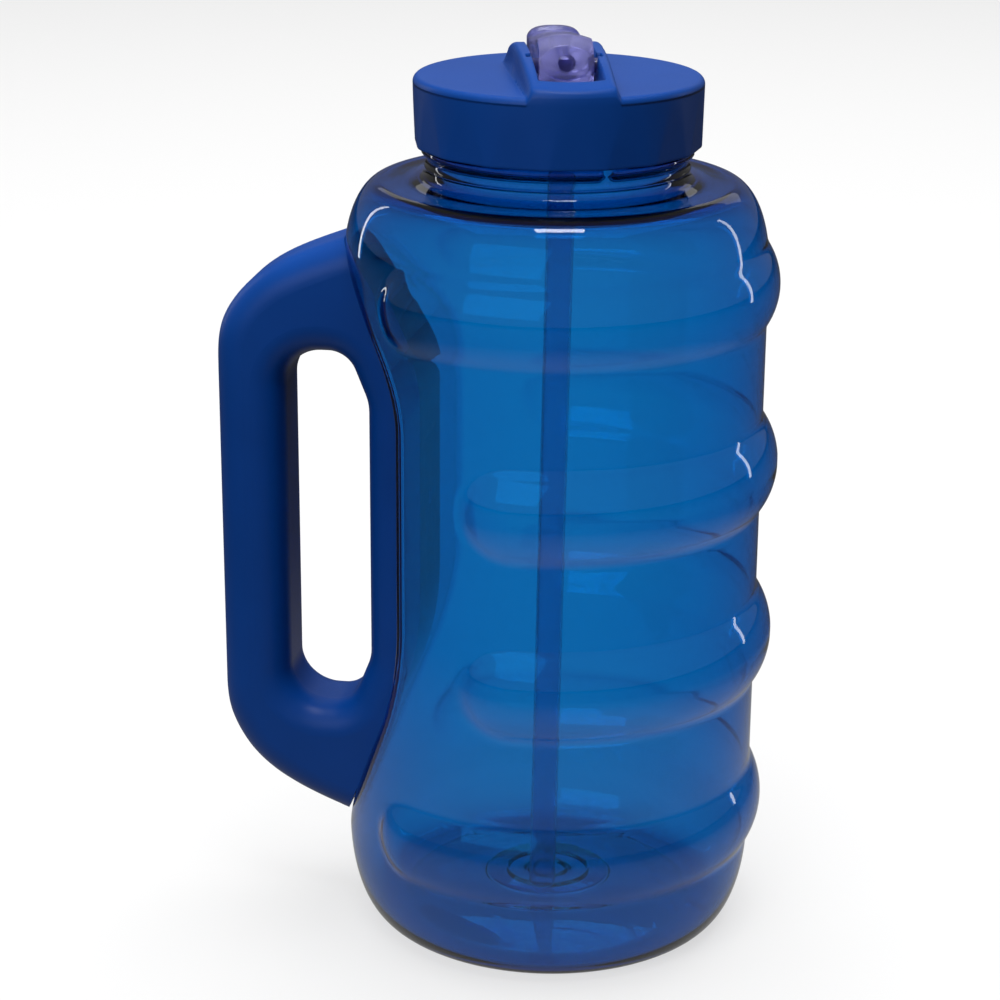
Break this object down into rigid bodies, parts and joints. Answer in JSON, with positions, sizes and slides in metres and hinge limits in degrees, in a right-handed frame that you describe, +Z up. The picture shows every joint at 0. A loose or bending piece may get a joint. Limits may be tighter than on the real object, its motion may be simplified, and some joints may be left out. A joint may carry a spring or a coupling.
{
  "type": "large water jug",
  "caption": "Large clear ribbed drinking jug with a side handle, a screw lid, a drinking straw and a folding spout.",
  "frame": {"origin": "centre of the bottle's foot ring, on the surface it stands on and on the bottle's axis", "axes": "+Z up along the bottle's axis, the handle points along -X, the spout's front points between -Y and +X"},
  "size_m": [0.1621, 0.1294, 0.265],
  "materials": {
    "clear_blue": "clear azure tinted copolyester, polished",
    "blue_plastic": "opaque royal blue polypropylene, satin with a fine moulded texture",
    "smoky_spout": "translucent smoky violet-blue, smooth",
    "straw_blue": "translucent blue polypropylene, smooth",
    "seal_rubber": "milky translucent silicone, matt"
  },
  "bodies": {
    "jug": {"bottle": "clear_blue", "handle": "blue_plastic"},
    "liner": {"gasket": "seal_rubber"},
    "cap": {"lid": "blue_plastic", "straw": "straw_blue", "spout_seal": "seal_rubber", "vent_valve": "seal_rubber"},
    "drinking_spout": {"spout": "smoky_spout"}
  },
  "joints": [
    {"name": "lid_lift", "type": "slide", "parent": "jug", "child": "liner", "axis": [0, 0, 1], "range_m": [0, 0.0075]},
    {"name": "lid_turn", "type": "hinge", "parent": "liner", "child": "cap", "pos_m": [0, 0, 0.24], "axis": [0, 0, 1], "range_deg": [0, 450]},
    {"name": "spout_flip", "type": "hinge", "parent": "cap", "child": "drinking_spout", "pos_m": [0.00302, -0.01213, 0.2564], "axis": [0.9703, 0.2419, 0], "range_deg": [0, 104]}
  ],
  "couplings": [
    {"joint": "lid_lift", "follows": "lid_turn", "m_per_rad": 0.00095493}
  ]
}
